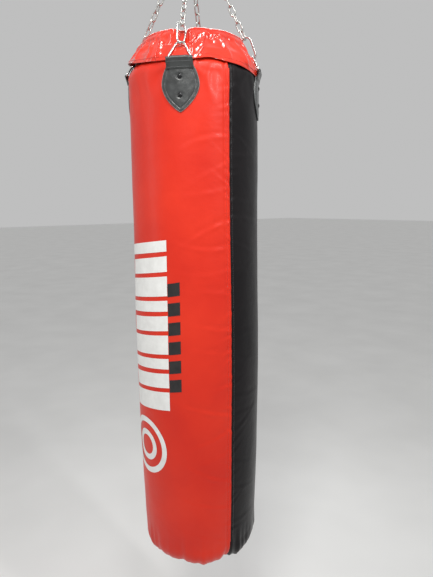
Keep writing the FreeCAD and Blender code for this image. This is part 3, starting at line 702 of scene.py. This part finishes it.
def bar_outline(width, height, slant):
    """A slanting block."""
    w = width / 2
    h = height / 2
    return [(-w, -h - slant / 2), (w, -h + slant / 2), (w, h + slant / 2), (-w, h - slant / 2)]


def ring_outline(radius, width, count=72):
    """The outer and inner edge of a flat ring."""
    outer = []
    inner = []
    for k in range(count):
        a = 2 * math.pi * k / count
        outer.append((radius * math.cos(a), radius * math.sin(a)))
        inner.append(((radius - width) * math.cos(a), (radius - width) * math.sin(a)))
    return [outer, inner]


def prints():
    """White slanting bars up the red side, a column of small black ones, and a target of two rings."""
    height = WHITE_TOP_H
    for k in range(9):
        thick = 0.030 + 0.012 * (k % 3)
        wide = 0.176 - 0.008 * ((k * 2) % 3)
        height -= thick / 2
        centre = WHITE_EDGE - math.degrees(wide / 2 / SHOULDER_R)
        outline = bar_outline(wide, thick, 0.020)
        printed("print_white_bar_%d" % (k + 1), outline, (centre, height), WHITE_INK)
        height -= thick / 2 + WHITE_GAP
    outline = bar_outline(BLACK_BLOCK, BLACK_BLOCK, 0.006)
    for k in range(6):
        centre = (BLACK_AZIMUTH, BLACK_TOP_H - k * BLACK_PITCH)
        printed("print_black_bar_%d" % (k + 1), outline, centre, BLACK_INK)
    for name, radius in (("outer", 0.086), ("inner", 0.047)):
        printed("print_target_" + name, ring_outline(radius, TARGET_BAND), TARGET_PLACE, WHITE_INK)


# ---- Collar and lid ----

COLLAR_COLUMNS = 400
COLLAR_ROWS = 29
COLLAR_DROP = 0.09
COLLAR_CAP = 0.0055               # the furthest that the simulation moves a point
COLLAR_END = 23                   # azimuth where the flap's ends meet
HEM_H = -0.001
HEM_SHAPE = ((0.031, -36, 34), (-0.016, 128, 28), (0.006, 69, 9), (0.005, 190, 25))
HEM_FLARE = ((0.016, -34, 27),)    # the lifted hem stands out too
# What a hook does: (rise, degrees past it, width, and the shares of the drop over which that fades).
HOOK_MARKS = ((-0.0085, 0, 0.017, 0.48, 0.70), (0.0032, 11, 0.010, 0.4, 0.9), (0.0026, -12, 0.012, 0.4, 0.9))
FOLD_R = 0.162                    # the collar's radius half-way down
FOLD_REACH = 0.045
FOLD_ROOM = 0.0025
ROLL_R = 0.0032
ROLL_IN = 0.0022
# The zip's pull hangs from the slider, and leans out with the slope.
PULL_TIP_R = 0.1790
PULL_TIP_H = -0.002
PULL_SLOPE = 0.42
SLIDER_TOP_H = 0.029
SLIDER_MIDDLE_H = 0.014
SLIDER_BULGE = 0.0045
# The D-rings and hooks stand over the collar, and lean in with the legs.
LEG_SLOPE = math.tan(math.radians(24.5))
RING_HALF = 0.0305
RING_PEAK_H = 0.058
RING_ROOM = 0.0036
HOOK_REACH = 0.0205
HOOK_HALF = 0.0145
HEM_CLEAR_H = -0.002
UNDER_TAB = 0.0024


def make_folds():
    """Creases of the collar: (azimuth, share of the drop, direction, length, width, height)."""
    rng = random.Random(GRAIN_SEED + 4)
    draw = rng.uniform
    found = []
    for centre in FITTINGS.values():
        # Long folds stand beside each hook, alternately ridge and hollow.
        away = 11.0
        for k in range(6):
            rise = (0.0078 if k % 2 else -0.0060) * draw(0.75, 1.15)
            width = draw(0.0065, 0.0115)
            found.append((centre + away, draw(0.42, 0.6), draw(-0.25, 0.25), 0.042, width, rise))
            away += draw(7.5, 11.5)
        # Short slanting ones gather in towards it.
        for side in (-1, 1):
            for k in range(4):
                direction = side * draw(0.15, 0.75)
                found.append((centre + side * draw(5, 20), draw(0.2, 0.7), direction,
                              draw(0.020, 0.038), draw(0.0055, 0.0110), draw(0.0042, 0.0072)))
    # Small wrinkles lie anywhere.
    for k in range(72):
        found.append((draw(0, 360), draw(0.1, 0.95), draw(-1.0, 1.0), draw(0.012, 0.032),
                      draw(0.0026, 0.0065), rng.choice((-1, 1)) * draw(0.0012, 0.0032)))
    return found


FOLDS = make_folds()


def fold_relief(azimuth, t):
    out = 0.0
    for where, share, direction, length, width, rise in FOLDS:
        x = math.radians(turn_between(azimuth, where)) * FOLD_R
        if abs(x) > FOLD_REACH:
            continue
        y = (share - t) * COLLAR_DROP
        along = y * math.cos(direction) + x * math.sin(direction)
        across = x * math.cos(direction) - y * math.sin(direction)
        across += 0.15 * along * math.sin(along * 90 + where)
        # One flank of a crease is steeper than the other.
        lopsided = across / (width * (0.55 if across > 0 else 1.25))
        out += rise * math.exp(-abs(lopsided) ** 1.5) * hill(along, length)
    return out


def hook_nearness(azimuth, width):
    """1 under a hook, falling to 0 over a width in metres to each side."""
    return max(hill(math.radians(turn_between(azimuth, a)) * 0.15, width) for a in FITTINGS.values())


def collar_line(h):
    """Radius of the collar before its wrinkles: sloping, then hanging straight past the shoulder."""
    slope = RIM_R + (RIM_H - h) * SLOPE
    hang = SHOULDER_R + 0.0042
    blend = max(0.0, 0.010 - abs(slope - hang)) / 0.010
    return min(slope, hang) - blend * blend * 0.0025


def collar_point(azimuth, t):
    """The collar's outside, from its rim at t 0 to its hem at t 1."""
    hem = HEM_H + ridges_round(azimuth, HEM_SHAPE)
    rim = RIM_H - 0.0045 * hook_nearness(azimuth, 0.026)
    rim += 0.0014 * noise.noise(Vector((azimuth * 0.06, 3, 1)))
    h = rim + (hem - rim) * t
    r = collar_line(h) + ridges_round(azimuth, HEM_FLARE) * t ** 1.5
    bulge = 1 - hook_nearness(azimuth, 0.05)
    r += 0.0035 * bulge * math.sin(math.pi * t) + 0.0012 * t
    r += SLIDER_BULGE * hill(h - SLIDER_MIDDLE_H, 0.024)
    for rise, past, width, start, end in HOOK_MARKS:
        r += rise * hook_nearness(azimuth - past, width) * (1 - ease(t, start, end))
    a = math.radians(azimuth)
    drape = math.sin(13 * a + 1.5 * math.sin(4 * a) + 3.0 * t) * 0.0009
    drape += noise.noise(Vector((azimuth * 0.11, t * 2.2, 9))) * 0.0024
    away = 1 - hook_nearness(azimuth, 0.012) * (1 - ease(t, 0.6, 0.85))
    r += (drape + fold_relief(azimuth, t) * away) * min(1.0, 5 * t, 0.35 + 5 * (1 - t))
    return point(azimuth, r, h)


def side_floor(h):
    """The least radius at which the collar clears the cover, and the zip's slider and pull on their run."""
    cover = min(SHOULDER_R, SHOULDER_R - (h - SHOULDER_H) * SLOPE)
    pull = PULL_TIP_R - (h - PULL_TIP_H) * PULL_SLOPE
    over_zip = pull - max(0.0, h - SLIDER_TOP_H) * 0.7
    return max(cover, min(PULL_TIP_R, over_zip)) + 0.0022


def clear_of(floor, r):
    """A radius held outside floor, with its folds flattened rather than cut off."""
    spare = r - floor
    if spare > FOLD_ROOM:
        return r
    return floor + FOLD_ROOM * math.exp(spare / FOLD_ROOM - 1)


def fitting_ceiling(azimuth, h):
    """The greatest radius at which the collar passes under a tab, its D-ring and the hook in that."""
    found = 1.0
    for centre in FITTINGS.values():
        beside = abs(math.radians(turn_between(azimuth, centre))) * 0.172
        if beside > 0.06:
            continue
        if h < HEM_CLEAR_H:
            found = min(found, SHOULDER_R + UNDER_TAB + max(0.0, beside - 0.038))
            continue
        plane = BAR_R - h * LEG_SLOPE
        ring_half = RING_HALF * max(0.0, 1 - h / RING_PEAK_H) + RING_ROOM
        ring = plane - RING_ROOM + 1.2 * max(0.0, beside - ring_half)
        hook = plane - HOOK_REACH * ease(h, 0.028, 0.044) + 1.1 * max(0.0, beside - HOOK_HALF)
        found = min(found, ring, hook)
    return found


def settle(p):
    """Moves a point of the collar in or out, to lie over the zip and under the fittings."""
    h = p.z - BAR_Z
    r = math.hypot(p.x, p.y)
    azimuth = math.degrees(math.atan2(p.x, -p.y))
    out = -clear_of(-fitting_ceiling(azimuth, h), -clear_of(side_floor(h), r)) / r
    return Vector((p.x * out, p.y * out, p.z))


SIMULATED_FRAMES = 14


def simulate_collar(piece, pinned):
    """Lets the collar buckle as slightly oversize cloth sewn at its rim, then keeps the result."""
    group = piece.vertex_groups.new(name="sewn")
    for index, weight in pinned:
        group.add([index], weight, "REPLACE")
    cloth = piece.modifiers.new("cloth", "CLOTH")
    settings = cloth.settings
    settings.vertex_group_mass = "sewn"
    settings.quality = 6
    settings.mass = 0.4
    settings.tension_stiffness = 30
    settings.compression_stiffness = 30
    settings.shear_stiffness = 12
    settings.bending_stiffness = 1.2
    settings.shrink_min = -0.03
    settings.pin_stiffness = 1.0
    settings.effector_weights.gravity = 0.3
    cloth.collision_settings.use_collision = False
    cloth.collision_settings.use_self_collision = False
    cloth.point_cache.frame_start = 1
    cloth.point_cache.frame_end = SIMULATED_FRAMES + 2
    scene = bpy.context.scene
    before = [v.co.copy() for v in piece.data.vertices]
    for step in range(1, SIMULATED_FRAMES + 1):
        scene.frame_set(step)
    shown = piece.evaluated_get(bpy.context.evaluated_depsgraph_get()).to_mesh()
    after = [v.co.copy() for v in shown.vertices]
    piece.modifiers.remove(cloth)
    piece.vertex_groups.clear()
    scene.frame_set(1)
    for v, old, new in zip(piece.data.vertices, before, after):
        move = new - old
        if move.length > COLLAR_CAP:
            move *= COLLAR_CAP / move.length
        v.co = old + move


def collar():
    """The glossy flap over the zip, with its rolled rim and folded hem."""
    azimuths = [360.0 * j / COLLAR_COLUMNS for j in range(COLLAR_COLUMNS)]
    verts = []
    for i in range(COLLAR_ROWS):
        verts += [collar_point(a, i / (COLLAR_ROWS - 1)) for a in azimuths]
    piece = mesh_object("collar", verts, grid_faces(COLLAR_ROWS, COLLAR_COLUMNS, wrap=True))
    pinned = []
    for v in piece.data.vertices:
        h = v.co.z - BAR_Z
        azimuth = math.degrees(math.atan2(v.co.x, -v.co.y))
        top = ease(h, RIM_H - 0.018, RIM_H - 0.006)
        held = hook_nearness(azimuth, 0.020)
        pinned.append((v.index, max(top, held, 0.02)))
    simulate_collar(piece, pinned)
    for v in piece.data.vertices:
        v.co = settle(v.co)
    smooth = piece.modifiers.new("smooth", "SUBSURF")
    smooth.levels = 1
    smooth.render_levels = 1
    thicken(piece, LINING_T)
    finish_piece(piece, RED_GLOSS)
    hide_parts("storm_flap", "rim_binding")

    rim = [settle(collar_point(a, 0)) - outward(a) * ROLL_IN for a in azimuths[::2]]
    roll = tube_along("collar_rim_roll", rim, ROLL_R, 10, closed=True)
    finish_piece(roll, RED_GLOSS)
    return piece, roll


def on_collar(piece, azimuths, row_share, lift=0.0003):
    """Points on the finished collar at a share of its drop, with outward directions."""
    row = int(row_share * (COLLAR_ROWS - 1))
    past = row_share * (COLLAR_ROWS - 1) - row
    found = []
    for azimuth in azimuths:
        j = int(round(azimuth * COLLAR_COLUMNS / 360)) % COLLAR_COLUMNS
        p = piece.data.vertices[row * COLLAR_COLUMNS + j].co
        q = piece.data.vertices[(row - 1) * COLLAR_COLUMNS + j].co
        out = Vector((p.x, p.y, 0)).normalized()
        found.append((p.lerp(q, past) + out * lift, out))
    return found


def collar_trim(piece):
    """The stitched hem, and the upright seam where the flap's ends meet."""
    around = [float(k) for k in range(0, 361)]
    lines = [on_collar(piece, around, 0.90), on_collar(piece, around, 0.10)]
    stitches = stitch_mesh("collar_stitches", lines, 0.0045)
    finish_piece(stitches, RED_THREAD)
    path = [on_collar(piece, [COLLAR_END], 0.06 + 0.92 * k / 20, 0.0004)[0][0] for k in range(21)]
    seam = tube_along("collar_end_seam", path, 0.0011)
    finish_piece(seam, RED_GLOSS)
    return stitches, seam


LID_COLUMNS = 144
LID_RINGS = 14


def lid():
    """The padded lid inside the rim and the wall down to the zip."""
    columns = LID_COLUMNS
    section = []
    for k in range(1, LID_RINGS + 1):
        t = k / LID_RINGS
        section.append((LID_R * t, LID_TOP - 0.002 - 0.006 * (1 - t ** 2) + 0.003 * hill(t - 0.9, 0.05)))
    section += [(LID_R + 0.004, LID_TOP + 0.004), (LID_R + 0.0075, RIM_H - 0.004),
                (LID_R + 0.0072, RIM_H - 0.010)]
    section += [(LID_R + 0.006 + 0.021 * k / 6, RIM_H - 0.016 - 0.032 * k / 6) for k in range(7)]
    verts = [point(0, 0, LID_TOP - 0.008)]
    for r, h in section:
        for j in range(columns):
            azimuth = 360.0 * j / columns
            dent = 0.0090 * hook_nearness(azimuth, 0.020) * ease(r, LID_R - 0.010, LID_R)
            p = point(azimuth, r - dent, h)
            p.z += 0.0014 * noise.noise(p * 24) + 0.0012 * noise.noise(p * 60)
            verts.append(p)
    faces = [(0, 1 + j, 1 + (j + 1) % columns) for j in range(columns)]
    faces += grid_faces(len(section), columns, wrap=True, start=1)
    piece = mesh_object("lid_cover", verts, faces)
    thicken(piece, LINING_T)
    finish_piece(piece, RED)
    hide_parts("lid_wall", "lid_panel")
    return piece


# ---- Leather tabs ----

TAB_T = 0.003
TAB_LENGTH = 0.129
TAB_TOP = -0.016
TAB_HALF_TOP = 0.0345
TAB_HALF_MAX = 0.0485
STRAP_HALF = 0.0224
TAB_WIDEST = -0.062
BORDER = 0.0085                   # from the cut edge to the stitched line
RIVET_HEIGHTS = (-0.043, -0.088)
TAB_ROWS = 92
TAB_COLUMNS = 49
STRAP_COLUMNS = 41
LOOP_R = 0.0050
LOOP_TURNS = 20
LOOP_COLUMNS = 15
EDGE_R = 0.0009


def tab_half_width(h):
    """Half the tab's width at a height: it flares from the fold, then closes to a point."""
    if h > TAB_WIDEST:
        t = (h - TAB_WIDEST) / (TAB_TOP - TAB_WIDEST)
        return TAB_HALF_MAX - (TAB_HALF_MAX - TAB_HALF_TOP) * t ** 1.7
    t = (TAB_WIDEST - h) / (TAB_LENGTH + TAB_WIDEST)
    return TAB_HALF_MAX * max(0.0, 1 - t ** 1.75) ** 0.86


def tab_edge_lean(h):
    """Length of the tab's edge for each metre down."""
    return math.hypot(1, (tab_half_width(h - 0.001) - tab_half_width(h + 0.001)) / 0.002)


def tab_edge_distance(x, h):
    """Roughly how far a point of the tab is from its edge."""
    return (tab_half_width(h) - abs(x)) / tab_edge_lean(h)


def tab_rise(x, h):
    """Height of the leather over the cover: rounded edge, pressed border line and rivet dimples."""
    d = max(0.0, tab_edge_distance(x, h))
    rise = TAB_T * (1 - max(0.0, 1 - d / 0.0016) ** 2) ** 0.5
    rise -= 0.0009 * hill(d - BORDER, 0.0008)
    rise += 0.0005 * ease(d, BORDER + 0.001, BORDER + 0.004)
    for rivet in RIVET_HEIGHTS:
        away = math.hypot(x, h - rivet)
        rise -= 0.0010 * hill(away - 0.0066, 0.0016)
    rise += 0.0004 * noise.noise(Vector((x * 90, h * 90, 4)))
    return rise


def tab_face_point(x, h, rise):
    """A point over the front of the bag, on a tab that faces -Y."""
    r = SHOULDER_R + rise
    a = x / SHOULDER_R
    return Vector((r * math.sin(a), -r * math.cos(a), BAR_Z + h))


def strap_bend(x, h):
    """How far the strap's edges lie back at a height, to follow the bag."""
    return 0.0022 * (x / TAB_HALF_TOP) ** 2 * ease(-h, 0.004, 0.022)


def tab_mesh():
    """The shield on the bag, the strap above it and the loop round the bar."""
    verts = []
    for i in range(TAB_ROWS):
        h = TAB_TOP + (-TAB_LENGTH - TAB_TOP) * (i / (TAB_ROWS - 1)) ** 0.97
        half = max(tab_half_width(h), 0.0004)
        for j in range(TAB_COLUMNS):
            u = math.sin(math.pi / 2 * (2 * j / (TAB_COLUMNS - 1) - 1))
            verts.append(tab_face_point(u * half, h, tab_rise(u * half, h) + 0.0004))
    faces = grid_faces(TAB_ROWS, TAB_COLUMNS)

    # The strap goes up in front of the bar, over it and down behind.
    start = len(verts)
    front = BAR_R + 0.0034
    section = [(SHOULDER_R + TAB_T + 0.0002, -0.0262), (SHOULDER_R + TAB_T + 0.0023, -0.0252)]
    section += [(SHOULDER_R + TAB_T + 0.0026 + 0.0028 * k / 5, -0.022 + 0.016 * k / 5) for k in range(6)]
    section += [(front + 0.0006, -0.002), (front + 0.0004, 0.001), (front - 0.0006, 0.0028)]
    section += [(front - 0.0024, 0.0020), (front - 0.0026, -0.004), (SHOULDER_R + 0.0035, -0.020),
                (SHOULDER_R + 0.002, -0.026)]
    across = STRAP_COLUMNS
    for r, h in section:
        for j in range(across):
            u = 2 * j / (across - 1) - 1
            x = u * TAB_HALF_TOP
            soft = 0.0007 * (abs(u) > 0.97)
            rough = 0.0003 * noise.noise(Vector((x * 60, h * 60, 1)))
            verts.append(Vector((x, -(r - soft - strap_bend(x, h)), BAR_Z + h + rough)))
    faces += grid_faces(len(section), across, start=start)
    count = len(section)
    for j in range(across - 1):
        a = start + (count - 1) * across + j
        faces.append((a, a + 1, start + j + 1, start + j))
    for side in (0, across - 1):
        faces.append(tuple(start + k * across + side for k in range(count)))

    # The loop round the bar, between the D-ring's corners.
    start = len(verts)
    for i in range(LOOP_TURNS):
        a = 2 * math.pi * i / LOOP_TURNS
        for j in range(LOOP_COLUMNS):
            x = STRAP_HALF * (2 * j / (LOOP_COLUMNS - 1) - 1)
            verts.append(Vector((x, -BAR_R + LOOP_R * math.cos(a), BAR_Z + LOOP_R * math.sin(a))))
    faces += grid_faces(LOOP_TURNS, LOOP_COLUMNS, start=start)
    last = start + (LOOP_TURNS - 1) * LOOP_COLUMNS
    faces += [(last + j, last + j + 1, start + j + 1, start + j) for j in range(LOOP_COLUMNS - 1)]
    return verts, faces


def tab_stitch_lines():
    """A border of stitches in the pressed line, and two rows across the fold."""
    border = []
    for side in (1, -1):
        line = []
        for k in range(120):
            h = TAB_TOP - 0.011 - (TAB_LENGTH - 0.040) * k / 119
            x = tab_half_width(h) - BORDER * tab_edge_lean(h)
            if x > 0.001:
                line.append((tab_face_point(side * x, h, TAB_T - 0.0002), Vector((0, -1, 0))))
        border.append(line)
    for h in (-0.0215, -0.0085):
        r = SHOULDER_R + TAB_T + 0.0029 + 0.0028 * (h + 0.022) / 0.016
        span = TAB_HALF_TOP - 0.004
        line = []
        for k in range(30):
            x = span * (2 * k / 29 - 1)
            line.append((Vector((x, -(r - strap_bend(x, h)), BAR_Z + h)), Vector((0, -1, 0))))
        border.append(line)
    return border


def tab_edge_path():
    """The cut edge of the shield, down one side to the tip and up the other."""
    path = []
    for side in (1, -1):
        line = []
        for k in range(70):
            h = TAB_TOP - 0.010 - (TAB_LENGTH + TAB_TOP - 0.0105) * (1 - (1 - k / 69) ** 1.6)
            line.append(tab_face_point(side * (tab_half_width(h) - 0.0006), h, TAB_T - 0.0006))
        path += line if side == 1 else line[::-1]
    return path


def tabs():
    """The four leather tabs, which are one shape turned round the bag."""
    verts, faces = tab_mesh()
    stitches = tab_stitch_lines()
    edge = tab_edge_path()
    for name, azimuth in FITTINGS.items():
        turn = Matrix.Rotation(math.radians(azimuth), 4, "Z")
        piece = mesh_object("tab_" + name, [turn @ v for v in verts], faces)
        finish_piece(piece, LEATHER)
        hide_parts("leather_tab_" + name)
        piece = tube_along("tab_edge_" + name, [turn @ p for p in edge], EDGE_R)
        finish_piece(piece, EDGE)
        turned = [[(turn @ p, turn.to_3x3() @ out) for p, out in line] for line in stitches]
        piece = stitch_mesh("tab_stitches_" + name, turned, 0.0032, 0.0004)
        finish_piece(piece, GREY_THREAD)


# ---- Stage ----

CAMERA_AZIMUTH = 55.7
CAMERA_AWAY = 1.5198
CAMERA_DROP = -0.3587
YAW = math.radians(2.231)
PITCH = math.radians(9.44)
ROLL = math.radians(-0.588)
SENSOR = 24.0
LENS = 21.1383
FLOOR_DROP = 0.55
FLOOR_HALF = 40
SKY_STRENGTH = 0.52
AIM_H = -0.35


def camera():
    """Stands where the photo's camera stood, as fitted to the bag's outline."""
    data = bpy.data.cameras.new("camera")
    data.sensor_fit = "VERTICAL"
    data.sensor_height = SENSOR
    data.lens = LENS
    piece = place_object("camera", data)
    away = outward(CAMERA_AZIMUTH)
    right = outward(CAMERA_AZIMUTH + 90)
    up = Vector((0, 0, 1))
    level = -away * math.cos(YAW) + right * math.sin(YAW)
    right = right * math.cos(YAW) + away * math.sin(YAW)
    ahead = level * math.cos(PITCH) - up * math.sin(PITCH)
    above = up * math.cos(PITCH) + level * math.sin(PITCH)
    x_axis = right * math.cos(ROLL) + above * math.sin(ROLL)
    y_axis = above * math.cos(ROLL) - right * math.sin(ROLL)
    turn = Matrix((x_axis, y_axis, -ahead)).transposed().to_4x4()
    piece.matrix_world = Matrix.Translation(away * CAMERA_AWAY + up * (BAR_Z + CAMERA_DROP)) @ turn
    bpy.context.scene.camera = piece


def light(name, azimuth, away, height, size, power, spread, colour=(1, 1, 1)):
    """A soft box round the bag, aimed at its upper half."""
    data = bpy.data.lights.new(name, "AREA")
    data.shape = "RECTANGLE"
    data.size, data.size_y = size
    data.energy = power
    data.color = colour
    data.spread = math.radians(spread)
    piece = place_object(name, data)
    piece.location = point(azimuth, away, height)
    aim = point(azimuth, 0, AIM_H) - piece.location
    piece.rotation_euler = aim.to_track_quat("-Z", "Y").to_euler()


def stage():
    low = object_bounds()[0][2] - FLOOR_DROP
    verts = [(x * FLOOR_HALF, y * FLOOR_HALF, low) for x, y in ((-1, -1), (1, -1), (1, 1), (-1, 1))]
    floor = mesh_object("floor", verts, [(0, 1, 2, 3)])
    n = Nodes("pale_floor")
    n.join(n.ramp(n.noise(2, 2), (0.80, 0.80, 0.79), (0.85, 0.85, 0.84)), n.shader.inputs["Base Color"])
    n.set("Roughness", 0.9)
    floor.data.materials.append(n.material)
    floor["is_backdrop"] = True
    world = bpy.data.worlds.new("studio")
    world.use_nodes = True
    sky = world.node_tree.nodes["Background"]
    sky.inputs["Color"].default_value = (1.0, 1.0, 1.0, 1)
    sky.inputs["Strength"].default_value = SKY_STRENGTH
    bpy.context.scene.world = world
    bpy.context.scene.view_settings.view_transform = "Standard"
    light("key", CAMERA_AZIMUTH - 12, 2.2, 1.6, (0.7, 0.7), 8.5, 75, (1.0, 0.99, 0.96))
    light("ceiling", CAMERA_AZIMUTH + 6, 0.95, 1.7, (0.22, 0.60), 5.5, 120)
    light("strip", CAMERA_AZIMUTH + 42, 2.0, 0.9, (0.14, 1.2), 5, 90)
    light("window", CAMERA_AZIMUTH - 80, 2.2, 0.2, (0.5, 2.2), 1.5, 90)
    light("backdrop", CAMERA_AZIMUTH + 180, 2.6, 1.6, (1.2, 1.2), 9, 90)


camera()
dress_cad_nodes()
red = cover_panel("cover_red", -FRONT_HALF, FRONT_HALF, 1, RED)
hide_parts("red_panel", "side_seams")
black = cover_panel("cover_black", FRONT_HALF, 360 - FRONT_HALF, -1, BLACK)
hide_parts("black_panel")
bottom_panel()
side_seams()
prints()
flap, rim_roll = collar()
flap_trim = collar_trim(flap)
top = lid()
tabs()
stage()
